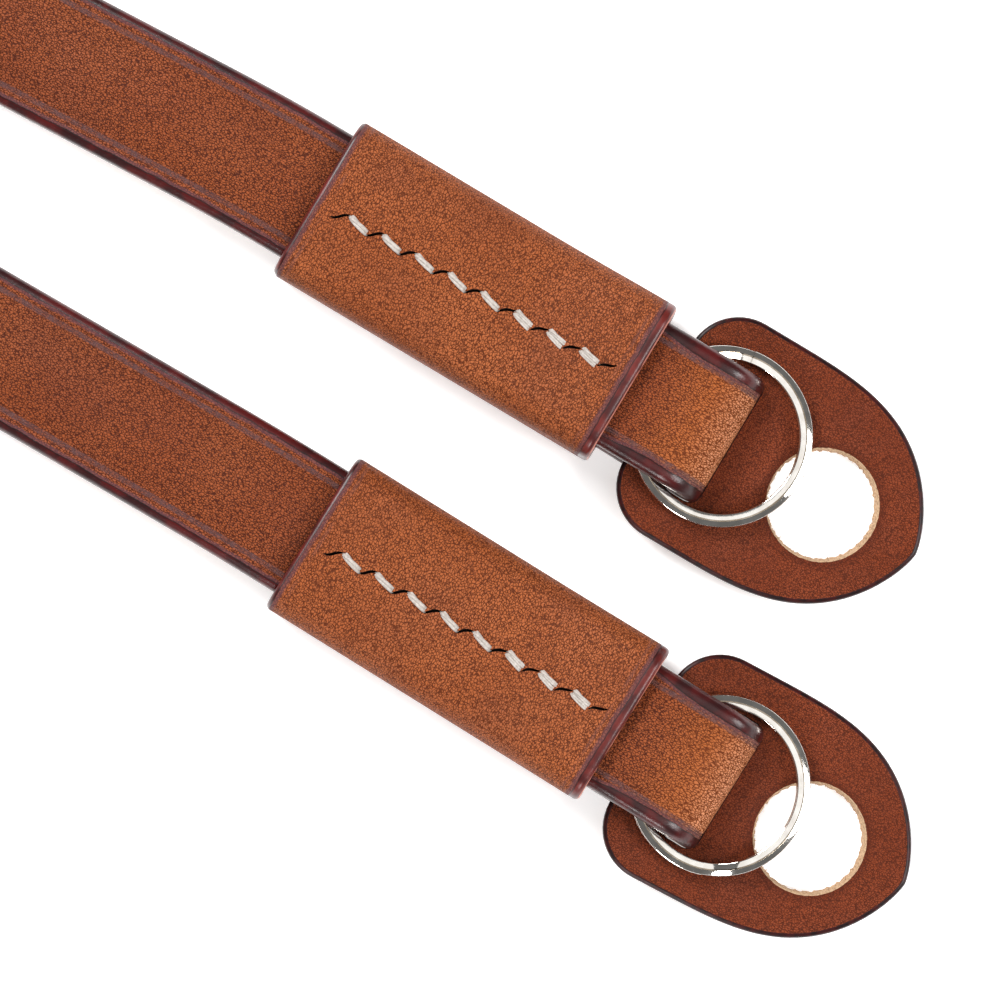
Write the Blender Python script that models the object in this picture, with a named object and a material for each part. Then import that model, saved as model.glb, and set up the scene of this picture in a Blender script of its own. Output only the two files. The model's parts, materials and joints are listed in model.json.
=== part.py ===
"""Leather camera neck strap, lying flat, with a split ring and a protector pad at each end.

Units are metres, +Z is up and the floor is z = 0. The two ends point along +X. End a lies on the +Y
side and end b on the -Y side. The strap is one length of leather: at each end it folds round a split
ring, passes through a slot in the pad, and its tail runs back into a wrapped sleeve.
"""
import math

import bmesh
import bpy
import numpy as np

# Strap
STRAP_LENGTH = 1.000            # from one fold to the other, along the middle of the leather
STRAP_WIDTH = 0.0120
STRAP_THICKNESS = 0.0020
STRAP_EDGE_RADIUS = 0.0008
TAIL_INSET = 0.0025             # the tail ends this far inside the back end of its sleeve
DROP_RUN = 0.0047               # length over which the tail layer comes down to the floor
DESCENT_RUN = 0.042             # length over which the strap comes down behind its sleeve
BEND_RUN = 0.012                # length over which the strap turns from sleeve to leg heading
FLAT_RUN = 0.050                # face-up stretch behind each sleeve
TWIST_RUN = 0.095               # stretch in which the strap turns up on its edge
LOOP_WIDTH = 0.116              # width of the far loop, where the strap stands on edge

# Sleeves
SLEEVE_LENGTH = 0.031
SLEEVE_WALL = 0.0012
SLEEVE_INNER_RADIUS = 0.0010
SLEEVE_SEAM_GAP = 0.0003        # butt joint under the sleeve
SLEEVE_END_BEVEL = 0.00025
SLEEVE_FLARE_RUN = 0.012        # the sleeve opens over this length towards its mouth

# Split rings
RING_PLAY = 0.0006              # between the strap's edge and the inside of the ring
RING_WIRE_WIDTH = 0.0011
RING_WIRE_THICKNESS = 0.0006
RING_COIL_GAP = 0.0001
RING_JOG = math.radians(9.0)    # half of the angle in which the wire steps from coil to coil
RING_END_GAP = math.radians(2.5)

# Protector pads
PAD_THICKNESS = 0.0014
PAD_WIDTH = 0.02066
PAD_HEEL = 0.00715              # from the fold back to the heel edge
PAD_NOSE = 0.01826              # from the fold forward to the tip
PAD_HEEL_RADIUS = 0.0046
PAD_HOLE_RADIUS = 0.0048
PAD_HOLE_FORWARD = 0.0093       # from the fold to the middle of the hole
PAD_HOLE_ASIDE = -0.0004
PAD_REST = 0.0026               # length of the nose that lies on the floor
PAD_FULLNESS = 3.36             # exponents of the nose outline
PAD_SHARPNESS = 0.70

# Clearances
LAYER_GAP = 0.00025             # between layers that touch on the real strap
PAD_SPACING = 0.0050            # between the two pads, side by side

# Layout of the two ends. Headings are in degrees from +X.
END_STAGGER = 0.0142            # end a stops this far behind end b
ENDS = (
    dict(name="a", side=1, sleeve_heading=-1.65, leg_heading=1.05, mouth_gap=0.00255,
         pad_shift=0.0, pad_turn=0.5, ring_aside=0.0002, ring_split=106.0),
    dict(name="b", side=-1, sleeve_heading=-2.60, leg_heading=-1.05, mouth_gap=0.00195,
         pad_shift=-0.0014, pad_turn=4.0, ring_aside=0.0, ring_split=-54.0),
)

# The far loop, from the end of the twist to its far end, as shares of its length and half width.
LOOP_SHAPE = (
    dict(along=0.26, across=0.33),
    dict(along=0.50, across=0.72),
    dict(along=0.765, across=1.00),
    dict(along=0.935, across=0.72),
)

# Fineness of the faceted surfaces
STATION_TURN = math.radians(8.0)
STATION_BULGE = 0.00005
CORNER_STEPS = 3
RING_STEPS = 32
PATH_STEP = 0.0004
LOOP_SAMPLES = 900

HALF_WIDTH = STRAP_WIDTH / 2
HALF_THICK = STRAP_THICKNESS / 2
EDGE_RADIUS = min(STRAP_EDGE_RADIUS, 0.45 * STRAP_THICKNESS)
TAIL_LEVEL = SLEEVE_WALL + LAYER_GAP + HALF_THICK
SLEEVE_LEVEL = TAIL_LEVEL + STRAP_THICKNESS + LAYER_GAP
RING_INNER = HALF_WIDTH + RING_PLAY
RING_OUTER = RING_INNER + RING_WIRE_WIDTH
RING_HEIGHT = 2 * RING_WIRE_THICKNESS + RING_COIL_GAP
RING_CENTRE_X = -HALF_THICK
END_SPACING = PAD_WIDTH + PAD_SPACING

LOOKS = {
    "strap": dict(colour=(0.262, 0.074, 0.031), roughness=0.45, metallic=0.0),
    "sleeve": dict(colour=(0.330, 0.102, 0.045), roughness=0.50, metallic=0.0),
    "pad": dict(colour=(0.220, 0.056, 0.026), roughness=0.45, metallic=0.0),
    "ring": dict(colour=(0.720, 0.700, 0.660), roughness=0.18, metallic=1.0),
}


def smooth(share):
    """0 to 1 with level ends."""
    share = min(max(share, 0.0), 1.0)
    return share * share * (3 - 2 * share)


def smooth_slope(share):
    share = min(max(share, 0.0), 1.0)
    return 6 * share * (1 - share)


def heading_vector(degrees):
    return np.array((math.cos(math.radians(degrees)), math.sin(math.radians(degrees))))


class EndProfile:
    """Side view of one end. x runs from the fold's outer face (0) back into the sleeve (negative)."""

    def __init__(self, end):
        self.mouth = -(PAD_HEEL - end["pad_shift"] + end["mouth_gap"])
        self.back = self.mouth - SLEEVE_LENGTH
        self.tail_end = self.back + TAIL_INSET
        self.drop_start = self.mouth - LAYER_GAP
        self.drop_end = self.drop_start + DROP_RUN
        self.heel = -(PAD_HEEL - end["pad_shift"])
        self.tip = PAD_NOSE + end["pad_shift"]
        self.touch = self.tip - PAD_REST
        heel_slope = (TAIL_LEVEL - HALF_THICK) / DROP_RUN
        heel_slope *= smooth_slope((self.heel - self.drop_start) / DROP_RUN)
        heel_top = self.tail_height(self.heel) + HALF_THICK * math.hypot(1, heel_slope)
        self.pad_slope = (heel_top + LAYER_GAP) / (self.touch - self.heel)
        self.tilt = math.hypot(1, self.pad_slope)
        ring_lift = (PAD_THICKNESS + LAYER_GAP + RING_HEIGHT / 2) * self.tilt
        self.ring_height = self.pad_line(RING_CENTRE_X) + ring_lift
        self.ring_rear = RING_CENTRE_X - RING_OUTER
        ring_top = self.pad_line(self.ring_rear) + ring_lift + RING_HEIGHT / 2 * self.tilt
        self.loop_top = ring_top + LAYER_GAP + HALF_THICK
        self.radius = (self.loop_top - HALF_THICK) / 2
        self.centre_x = -(self.radius + HALF_THICK)
        self.centre_z = self.radius + HALF_THICK
        self.drop_end = min(self.drop_end, self.centre_x - LAYER_GAP)
        self.rise_start = self.mouth - SLEEVE_FLARE_RUN

    def tail_height(self, x):
        """Middle of the layer that lies under the pad."""
        share = (x - self.drop_start) / (self.drop_end - self.drop_start)
        return TAIL_LEVEL + (HALF_THICK - TAIL_LEVEL) * smooth(share)

    def top_height(self, x):
        """Middle of the layer that the long strap makes over the ring."""
        share = (x - self.rise_start) / (self.ring_rear - self.rise_start)
        return SLEEVE_LEVEL + (self.loop_top - SLEEVE_LEVEL) * smooth(share)

    def roof(self, x):
        """Inner height of the sleeve."""
        run = self.ring_rear - self.rise_start
        slope = (self.loop_top - SLEEVE_LEVEL) / run * smooth_slope((x - self.rise_start) / run)
        return self.top_height(x) + HALF_THICK * math.hypot(1, slope) + LAYER_GAP

    def pad_line(self, x):
        """Underside of the pad, before its nose is eased down on the floor."""
        return self.pad_slope * (self.touch - x)

    def pad_height(self, x):
        """Underside of the pad. The last stretch of the slope runs out into the floor as an arc."""
        ease = PAD_REST
        if x <= self.touch - ease:
            return self.pad_line(x)
        if x >= self.touch + ease:
            return 0.0
        return self.pad_slope * (self.touch + ease - x) ** 2 / (4 * ease)

    def slot(self):
        """Back and front edge of the slot that the fold passes through."""
        inner = self.radius - HALF_THICK - LAYER_GAP
        outer = self.radius + HALF_THICK + LAYER_GAP
        back = self.centre_x
        step = LAYER_GAP / 10
        while math.hypot(back + step - self.centre_x, self.pad_line(back + step) - self.centre_z) < inner:
            back += step
        top = self.pad_line(0.0) + PAD_THICKNESS
        front = self.centre_x + math.sqrt(outer ** 2 - (self.centre_z - top) ** 2)
        return back, front

    def side_path(self):
        """Points (x, z) along the middle of the leather, from the tail's end to the sleeve's back."""
        points = [(self.tail_end, TAIL_LEVEL), (self.drop_start, TAIL_LEVEL)]
        for x in np.arange(self.drop_start + PATH_STEP, self.drop_end, PATH_STEP):
            points.append((x, self.tail_height(x)))
        for angle in np.linspace(-90, 90, 91):
            points.append((self.centre_x + self.radius * math.cos(math.radians(angle)),
                           self.centre_z + self.radius * math.sin(math.radians(angle))))
        for x in np.arange(self.ring_rear, self.rise_start, -PATH_STEP):
            points.append((x, self.top_height(x)))
        points.append((self.rise_start, SLEEVE_LEVEL))
        points.append((self.back, SLEEVE_LEVEL))
        return np.array(points)


def fold_place(end):
    """Where the fold's outer face stands on the floor, before the part is centred."""
    stagger = END_STAGGER if end["side"] > 0 else 0.0
    return np.array((-stagger, end["side"] * END_SPACING / 2))


def leg_path(end, profile):
    """Rows (x, y, z, roll) from the sleeve's back to the end of the twist."""
    place = fold_place(end) + heading_vector(end["sleeve_heading"]) * profile.back
    turn = end["leg_heading"] - end["sleeve_heading"]
    length = FLAT_RUN + TWIST_RUN
    rows = []
    steps = int(round(length / PATH_STEP / 4))
    step = length / steps
    for index in range(steps + 1):
        along = index * step
        roll = math.radians(90) * smooth((along - FLAT_RUN) / TWIST_RUN)
        resting = ((HALF_WIDTH - EDGE_RADIUS) * math.sin(roll)
                   + (HALF_THICK - EDGE_RADIUS) * math.cos(roll) + EDGE_RADIUS)
        lift = (SLEEVE_LEVEL - HALF_THICK) * (1 - smooth(along / DESCENT_RUN))
        rows.append((place[0], place[1], resting + lift, roll))
        heading = end["sleeve_heading"] + turn * smooth((along + step / 2) / BEND_RUN)
        place = place - heading_vector(heading) * step
    return np.array(rows)


def clamped_spline(points, start, finish, count):
    """Smooth curve through points, leaving along start and arriving along finish."""
    knots = np.concatenate(((0.0,), np.cumsum(np.linalg.norm(np.diff(points, axis=0), axis=1))))
    gaps = np.diff(knots)
    size = len(points)
    matrix = np.zeros((size, size))
    right = np.zeros((size, 2))
    matrix[0, 0] = matrix[-1, -1] = 1.0
    right[0], right[-1] = start, finish
    for i in range(1, size - 1):
        matrix[i, i - 1] = gaps[i]
        matrix[i, i] = 2 * (gaps[i - 1] + gaps[i])
        matrix[i, i + 1] = gaps[i - 1]
        right[i] = 3 * (gaps[i] * (points[i] - points[i - 1]) / gaps[i - 1]
                        + gaps[i - 1] * (points[i + 1] - points[i]) / gaps[i])
    slopes = np.linalg.solve(matrix, right)
    curve = []
    for value in np.linspace(0, knots[-1], count):
        i = min(int(np.searchsorted(knots, value, side="right")) - 1, size - 2)
        t = (value - knots[i]) / gaps[i]
        curve.append((2 * t ** 3 - 3 * t ** 2 + 1) * points[i] + (3 * t ** 2 - 2 * t ** 3) * points[i + 1]
                     + (t ** 3 - 2 * t ** 2 + t) * gaps[i] * slopes[i]
                     + (t ** 3 - t ** 2) * gaps[i] * slopes[i + 1])
    return np.array(curve)


def far_loop(reach, leg_a, leg_b):
    """Plan view of the far loop, from the end of leg a to the end of leg b."""
    start, finish = leg_a[-1, :2], leg_b[-1, :2]
    middle = (start + finish) / 2
    points = [start]
    points += [middle + (-reach * row["along"], LOOP_WIDTH / 2 * row["across"]) for row in LOOP_SHAPE]
    points.append(middle + (-reach, 0.0))
    points += [middle + (-reach * row["along"], -LOOP_WIDTH / 2 * row["across"])
               for row in reversed(LOOP_SHAPE)]
    points.append(finish)
    leave = -heading_vector(ENDS[0]["leg_heading"])
    arrive = heading_vector(ENDS[1]["leg_heading"])
    return clamped_spline(np.array(points), leave, arrive, LOOP_SAMPLES)


def path_length(points):
    return float(np.linalg.norm(np.diff(points, axis=0), axis=1).sum())


def strap_path(profiles):
    """Middle of the leather and its roll, from tail a to tail b. Rows are (x, y, z, roll)."""
    sides, legs, fixed = [], [], 0.0
    for end, profile in zip(ENDS, profiles):
        side = profile.side_path()
        forward = heading_vector(end["sleeve_heading"])
        place = fold_place(end)
        rows = np.array([(*(place + forward * x), z, 0.0) for x, z in side])
        leg = leg_path(end, profile)
        outermost = int(np.argmax(side[:, 0]))
        fixed += path_length(rows[outermost:, :3]) + path_length(leg[:, :3])
        sides.append(rows)
        legs.append(leg)
    short, long = LOOP_WIDTH / 2, STRAP_LENGTH
    for _ in range(60):
        reach = (short + long) / 2
        if fixed + path_length(far_loop(reach, *legs)) < STRAP_LENGTH:
            short = reach
        else:
            long = reach
    standing = legs[0][-1, 2]
    loop = [(x, y, standing, math.radians(90)) for x, y in far_loop(reach, *legs)]
    return np.vstack((sides[0], legs[0][1:], loop[1:-1], legs[1][:0:-1], sides[1][::-1])), \
        (len(sides[0]), len(sides[1]))


def strap_stations(profiles):
    """Frames (place, along, across) of the swept section, thinned out where the strap runs straight."""
    path, (first, last) = strap_path(profiles)
    points, rolls = path[:, :3], path[:, 3]
    along = np.gradient(points, axis=0)
    along /= np.linalg.norm(along, axis=1)[:, None]
    frames = []
    for index, (place, ahead, roll) in enumerate(zip(points, along, rolls)):
        if index < first:
            flat = heading_vector(ENDS[0]["sleeve_heading"] + 90)
            across = np.array((flat[0], flat[1], 0.0))
        elif index >= len(points) - last:
            flat = heading_vector(ENDS[1]["sleeve_heading"] - 90)
            across = np.array((flat[0], flat[1], 0.0))
        else:
            out = np.array((ahead[1], -ahead[0], 0.0))
            out /= np.linalg.norm(out)
            across = math.cos(roll) * out - math.sin(roll) * np.cross(out, ahead)
        frames.append((place, ahead, across))
    kept = [0]
    for index in range(1, len(frames) - 1):
        chord = points[index + 1] - points[kept[-1]]
        between = points[kept[-1]:index + 1] - points[kept[-1]]
        bulge = np.linalg.norm(np.cross(between, chord), axis=1).max() / np.linalg.norm(chord)
        turned = max(math.acos(min(1.0, float(frames[kept[-1]][item] @ frames[index + 1][item])))
                     for item in (1, 2))
        if bulge > STATION_BULGE or turned > STATION_TURN:
            kept.append(index)
    kept.append(len(frames) - 1)
    return [frames[index] for index in kept]


def corner_arc(centre, radius, start, steps=CORNER_STEPS):
    """Quarter turn of points from the angle start, in degrees."""
    return [(centre[0] + radius * math.cos(math.radians(start + 90 * i / steps)),
             centre[1] + radius * math.sin(math.radians(start + 90 * i / steps)))
            for i in range(steps + 1)]


def strap_section():
    """Rounded section of the leather, as (across, through) points."""
    across, through = HALF_WIDTH - EDGE_RADIUS, HALF_THICK - EDGE_RADIUS
    return (corner_arc((across, through), EDGE_RADIUS, 0)
            + corner_arc((-across, through), EDGE_RADIUS, 90)
            + corner_arc((-across, -through), EDGE_RADIUS, 180)
            + corner_arc((across, -through), EDGE_RADIUS, 270))


def stitch_rings(mesh, rings):
    """Quads between closed rings of vertices that have the same number of points."""
    for lower, upper in zip(rings, rings[1:]):
        for i in range(len(lower)):
            j = (i + 1) % len(lower)
            mesh.faces.new((lower[i], lower[j], upper[j], upper[i]))


def finish_object(name, mesh, look, parent, smooth_angle=40.0):
    """Write the bmesh to a named object with its own material."""
    bmesh.ops.recalc_face_normals(mesh, faces=mesh.faces)
    data = bpy.data.meshes.new(name)
    mesh.to_mesh(data)
    mesh.free()
    data.shade_smooth()
    data.set_sharp_from_angle(angle=math.radians(smooth_angle))
    material = bpy.data.materials.new(name)
    material.use_nodes = True
    shader = material.node_tree.nodes["Principled BSDF"]
    shader.inputs["Base Color"].default_value = (*LOOKS[look]["colour"], 1.0)
    shader.inputs["Roughness"].default_value = LOOKS[look]["roughness"]
    shader.inputs["Metallic"].default_value = LOOKS[look]["metallic"]
    data.materials.append(material)
    item = bpy.data.objects.new(name, data)
    item.parent = parent
    bpy.context.collection.objects.link(item)
    return item


def make_strap(profiles, parent):
    """The one length of leather, with both folds and both tails."""
    mesh = bmesh.new()
    section = strap_section()
    rings = []
    for place, along, across in strap_stations(profiles):
        normal = np.cross(across, along)
        rings.append([mesh.verts.new(place + across * u + normal * v) for u, v in section])
    stitch_rings(mesh, rings)
    mesh.faces.new(rings[0])
    mesh.faces.new(rings[-1])
    return finish_object("strap", mesh, "strap", parent)


def wrap_path(half, bottom, top, radius):
    """Open path of points (y, z) round a wrapped sleeve, from one side of the seam to the other."""
    seam = SLEEVE_SEAM_GAP / 2
    return ([(seam, bottom)]
            + corner_arc((half - radius, bottom + radius), radius, 270)
            + corner_arc((half - radius, top - radius), radius, 0)
            + corner_arc((radius - half, top - radius), radius, 90)
            + corner_arc((radius - half, bottom + radius), radius, 180)
            + [(-seam, bottom)])


def make_sleeve(end, profile, parent):
    """Leather wrapped round both layers, butted along the middle of its underside."""
    inner_half = HALF_WIDTH + LAYER_GAP
    outer_radius = SLEEVE_INNER_RADIUS + SLEEVE_WALL
    bevel = min(SLEEVE_END_BEVEL, 0.4 * SLEEVE_WALL)
    flare_steps = 8
    cuts = [(profile.back, bevel), (profile.back + bevel, 0.0)]
    for i in range(flare_steps):
        cuts.append((profile.rise_start + (profile.mouth - bevel - profile.rise_start) * i / flare_steps, 0.0))
    cuts += [(profile.mouth - bevel, 0.0), (profile.mouth, bevel)]
    mesh = bmesh.new()
    rings = []
    for x, inset in cuts:
        roof = profile.roof(x)
        outer = wrap_path(inner_half + SLEEVE_WALL - inset, inset, roof + SLEEVE_WALL - inset,
                          outer_radius - inset)
        inner = wrap_path(inner_half + inset, SLEEVE_WALL - inset, roof + inset,
                          SLEEVE_INNER_RADIUS + inset)
        rings.append([mesh.verts.new((x, y, z)) for y, z in outer + inner[::-1]])
    stitch_rings(mesh, rings)
    count = len(rings[0])
    for ring in (rings[0], rings[-1]):
        for i in range(count // 2 - 1):
            mesh.faces.new((ring[i], ring[i + 1], ring[count - 2 - i], ring[count - 1 - i]))
    return finish_object("sleeve_" + end["name"], mesh, "sleeve", parent)


def make_ring(end, profile, parent):
    """Two coils of flattened wire with a step between them, about the ring's own axis."""
    half_pitch = (RING_WIRE_THICKNESS + RING_COIL_GAP) / 2
    half_width, half_thick = RING_WIRE_WIDTH / 2, RING_WIRE_THICKNESS / 2
    section = ((-half_width, 0), (-0.6 * half_width, -half_thick), (0.6 * half_width, -half_thick),
               (half_width, 0), (0.6 * half_width, half_thick), (-0.6 * half_width, half_thick))
    middle = RING_INNER + half_width
    first = RING_JOG + RING_END_GAP
    last = 4 * math.pi - first
    angles = [first + (2 * math.pi - RING_JOG - first) * i / RING_STEPS for i in range(RING_STEPS)]
    angles += [2 * math.pi + RING_JOG * (i / 2 - 1) for i in range(5)]
    angles += [last - (last - 2 * math.pi - RING_JOG) * i / RING_STEPS for i in range(RING_STEPS)][::-1]
    mesh = bmesh.new()
    rings = []
    for angle in angles:
        climb = smooth((angle - 2 * math.pi + RING_JOG) / (2 * RING_JOG))
        level = half_pitch * (2 * climb - 1)
        turned = angle + math.radians(end["ring_split"])
        rings.append([mesh.verts.new(((middle + r) * math.cos(turned), (middle + r) * math.sin(turned),
                                      level + z)) for r, z in section])
    stitch_rings(mesh, rings)
    mesh.faces.new(rings[0])
    mesh.faces.new(rings[-1])
    ring = finish_object("ring_" + end["name"], mesh, "ring", parent)
    ring.location = (RING_CENTRE_X, end["ring_aside"], profile.ring_height)
    ring.rotation_euler = (0.0, math.atan(profile.pad_slope), 0.0)
    return ring


def pad_outline(nose_steps=18):
    """Plan outline of the pad with the fold's outer face at x = 0."""
    half = PAD_WIDTH / 2
    side = []
    for i in range(nose_steps + 1):
        share = math.sin(math.radians(90) * i / nose_steps)
        side.append((PAD_NOSE * share, half * (1 - share ** PAD_FULLNESS) ** PAD_SHARPNESS))
    radius = min(PAD_HEEL_RADIUS, 0.45 * PAD_WIDTH)
    side = side[::-1] + corner_arc((radius - PAD_HEEL, half - radius), radius, 90, 8)
    mirrored = [(x, -y) for x, y in reversed(side) if y > 1e-9]
    return side + mirrored


def circle(centre, radius, steps):
    return [(centre[0] + radius * math.cos(2 * math.pi * i / steps),
             centre[1] + radius * math.sin(2 * math.pi * i / steps)) for i in range(steps)]


def slot_outline(profile):
    """Slot with round corners, square to the strap."""
    back, front = profile.slot()
    half = HALF_WIDTH + LAYER_GAP + EDGE_RADIUS / 2
    radius = 0.3 * (front - back)
    return (corner_arc((front - radius, half - radius), radius, 0)
            + corner_arc((back + radius, half - radius), radius, 90)
            + corner_arc((back + radius, radius - half), radius, 180)
            + corner_arc((front - radius, radius - half), radius, 270))


def make_pad(end, profile, parent):
    """Flat pad with its hole and slot, sloping from over the tail layer to the floor."""
    turn = math.radians(end["pad_turn"])

    def place(point):
        x, y = point
        return (x * math.cos(turn) - y * math.sin(turn) + end["pad_shift"],
                x * math.sin(turn) + y * math.cos(turn))

    loops = [[place(p) for p in pad_outline()],
             [place(p) for p in circle((PAD_HOLE_FORWARD, PAD_HOLE_ASIDE), PAD_HOLE_RADIUS, 36)],
             slot_outline(profile)]
    mesh = bmesh.new()
    edges = []
    for loop in loops:
        verts = [mesh.verts.new((x, y, 0.0)) for x, y in loop]
        edges += [mesh.edges.new((a, b)) for a, b in zip(verts, verts[1:] + verts[:1])]
    bmesh.ops.triangle_fill(mesh, use_beauty=True, use_dissolve=False, edges=edges, normal=(0, 0, 1))
    ease_start = profile.touch - PAD_REST
    for i in range(6):
        cut = ease_start + 2 * PAD_REST * i / 5
        bmesh.ops.bisect_plane(mesh, geom=mesh.verts[:] + mesh.edges[:] + mesh.faces[:], dist=1e-7,
                               plane_co=(cut, 0, 0), plane_no=(1, 0, 0))
    bmesh.ops.triangulate(mesh, faces=mesh.faces)
    upper = bmesh.ops.extrude_face_region(mesh, geom=mesh.faces[:])["geom"]
    raised = {item for item in upper if isinstance(item, bmesh.types.BMVert)}
    for vert in mesh.verts:
        lift = PAD_THICKNESS if vert in raised else 0.0
        vert.co.z = profile.pad_height(vert.co.x) + lift
    return finish_object("pad_" + end["name"], mesh, "pad", parent)


def clear_scene():
    for item in list(bpy.data.objects):
        bpy.data.objects.remove(item, do_unlink=True)


def make_empty(name, parent=None):
    empty = bpy.data.objects.new(name, None)
    empty.parent = parent
    bpy.context.collection.objects.link(empty)
    return empty


def centre_part(root, items):
    """Move the root so that the origin is the middle of the part's footprint."""
    bpy.context.view_layer.update()
    corners = np.array([item.matrix_world @ vert.co for item in items for vert in item.data.vertices])
    low, high = corners.min(axis=0), corners.max(axis=0)
    root.location = (-(low[0] + high[0]) / 2, -(low[1] + high[1]) / 2, -low[2])
    bpy.context.view_layer.update()


def main():
    clear_scene()
    profiles = [EndProfile(end) for end in ENDS]
    root = make_empty("part_origin")
    items = [make_strap(profiles, root)]
    for end, profile in zip(ENDS, profiles):
        frame = make_empty("end_" + end["name"], root)
        frame.location = (*fold_place(end), 0.0)
        frame.rotation_euler = (0.0, 0.0, math.radians(end["sleeve_heading"]))
        items.append(make_sleeve(end, profile, frame))
        items.append(make_ring(end, profile, frame))
        items.append(make_pad(end, profile, frame))
    centre_part(root, items)
    return items


main()
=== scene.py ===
# %% [markdown]
# A leather camera neck strap
#
# A slim strap is one long strip of vegetable-tanned leather. Each end folds round a split ring, and a
# wrapped sleeve with a row of saddle stitches holds the tail. A shield-shaped pad keeps the ring off the
# camera. The solids of the part are loaded first. They fix every size and place, and each dressed
# piece below stands for one of them.

# %% Load the solids
import bpy
import bmesh
import json
import math
import random
import numpy as np
from mathutils import Matrix, Vector
from types import SimpleNamespace

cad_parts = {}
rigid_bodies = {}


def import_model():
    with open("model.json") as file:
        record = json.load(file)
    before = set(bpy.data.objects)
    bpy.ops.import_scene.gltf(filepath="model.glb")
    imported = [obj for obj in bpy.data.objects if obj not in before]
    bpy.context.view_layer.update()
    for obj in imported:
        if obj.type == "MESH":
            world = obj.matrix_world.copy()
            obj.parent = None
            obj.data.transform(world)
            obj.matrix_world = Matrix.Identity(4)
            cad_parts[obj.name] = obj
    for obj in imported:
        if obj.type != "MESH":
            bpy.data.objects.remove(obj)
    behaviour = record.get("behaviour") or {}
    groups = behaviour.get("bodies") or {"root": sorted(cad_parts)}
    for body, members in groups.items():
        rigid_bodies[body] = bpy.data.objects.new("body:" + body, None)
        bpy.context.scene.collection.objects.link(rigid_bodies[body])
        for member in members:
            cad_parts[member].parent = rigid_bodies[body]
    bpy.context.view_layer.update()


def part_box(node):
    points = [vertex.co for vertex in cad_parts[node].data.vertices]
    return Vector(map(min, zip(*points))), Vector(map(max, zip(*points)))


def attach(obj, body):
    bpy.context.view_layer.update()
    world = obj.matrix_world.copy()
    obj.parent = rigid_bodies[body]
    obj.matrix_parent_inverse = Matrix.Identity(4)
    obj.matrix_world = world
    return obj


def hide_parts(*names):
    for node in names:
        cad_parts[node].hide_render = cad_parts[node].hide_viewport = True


for leftover in list(bpy.data.objects):
    bpy.data.objects.remove(leftover, do_unlink=True)
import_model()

# %% [markdown]
# Sizes
#
# The solids were drawn from a few named sizes in metres. The ones that the dressed pieces share are
# written here again, so that leather laid along a route ends up where its solid is.

# %% Sizes of the leather and the metal
mm = 0.001
strap_width = 12.0 * mm
strap_thickness = 2.0 * mm
strap_length = 1000 * mm
edge_round = 0.8 * mm
layer_gap = 0.25 * mm
tail_inset = 2.5 * mm
sleeve_length = 31.0 * mm
sleeve_wall = 1.2 * mm
pad_thickness = 1.4 * mm
pad_width = 20.66 * mm
pad_heel = 7.15 * mm
pad_nose = 18.26 * mm
pad_rest = 2.6 * mm
wire_width = 1.1 * mm
wire_thickness = 0.6 * mm
coil_gap = 0.1 * mm
half_width = strap_width / 2
half_thick = strap_thickness / 2
tail_level = sleeve_wall + layer_gap + half_thick
sleeve_level = tail_level + strap_thickness + layer_gap
ring_inner = half_width + 0.6 * mm
ring_centre_x = -half_thick
ring_rear = ring_centre_x - ring_inner - wire_width
ring_height = 2 * wire_thickness + coil_gap

ends = {
    "a": SimpleNamespace(side=1, sleeve_heading=-1.65, leg_heading=1.05, mouth_gap=2.55 * mm,
                         pad_shift=0.0, pad_turn=0.5, ring_aside=0.2 * mm, ring_split=116.0),
    "b": SimpleNamespace(side=-1, sleeve_heading=-2.60, leg_heading=-1.05, mouth_gap=1.95 * mm,
                         pad_shift=-1.4 * mm, pad_turn=4.0, ring_aside=0.0, ring_split=-54.0),
}
print("tail layer at %.2f mm, top layer at %.2f mm" % (tail_level / mm, sleeve_level / mm))

# %% [markdown]
# The side view of an end
#
# Seen from the side, the tail leaves the sleeve, drops under the pad, turns up through the slot, and
# comes back over the ring as the top layer. One table of heights per end holds that shape. The sleeve
# and the pad read it too, so the layers never cut into each other.

# %% Heights along an end
drop_run = 4.7 * mm
flare_run = 12.0 * mm


def clamp(share):
    return min(max(share, 0.0), 1.0)


def ease(share):
    """0 to 1 with level ends."""
    share = clamp(share)
    return share * share * (3 - 2 * share)


def ease_slope(share):
    share = clamp(share)
    return 6 * share * (1 - share)


def on_circle(angle, radius=1.0, x=0.0, y=0.0):
    return (x + radius * math.cos(angle), y + radius * math.sin(angle))


def side_view(end):
    """Heights and places of one end, with the fold's outer face at x = 0."""
    view = SimpleNamespace(mouth=-(pad_heel - end.pad_shift + end.mouth_gap))
    view.back = view.mouth - sleeve_length
    view.drop_start = view.mouth - layer_gap
    view.heel = -(pad_heel - end.pad_shift)
    view.touch = pad_nose + end.pad_shift - pad_rest
    share = (view.heel - view.drop_start) / drop_run
    drop_slope = (tail_level - half_thick) / drop_run * ease_slope(share)
    heel_top = (tail_level + (half_thick - tail_level) * ease(share)
                + half_thick * math.hypot(1, drop_slope))
    view.slope = (heel_top + layer_gap) / (view.touch - view.heel)
    tilt = math.hypot(1, view.slope)
    lift = (pad_thickness + layer_gap + ring_height / 2) * tilt
    view.ring_z = view.slope * (view.touch - ring_centre_x) + lift
    ring_top = view.slope * (view.touch - ring_rear) + lift + ring_height / 2 * tilt
    view.loop_top = ring_top + layer_gap + half_thick
    view.radius = (view.loop_top - half_thick) / 2
    view.bend_x = -(view.radius + half_thick)
    view.bend_z = view.radius + half_thick
    view.drop_end = min(view.drop_start + drop_run, view.bend_x - layer_gap)
    view.rise_start = view.mouth - flare_run
    return view


views = {name: side_view(end) for name, end in ends.items()}
for name, view in views.items():
    print("end", name, {key: round(value / mm, 2) for key, value in vars(view).items() if key != "slope"})

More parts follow.
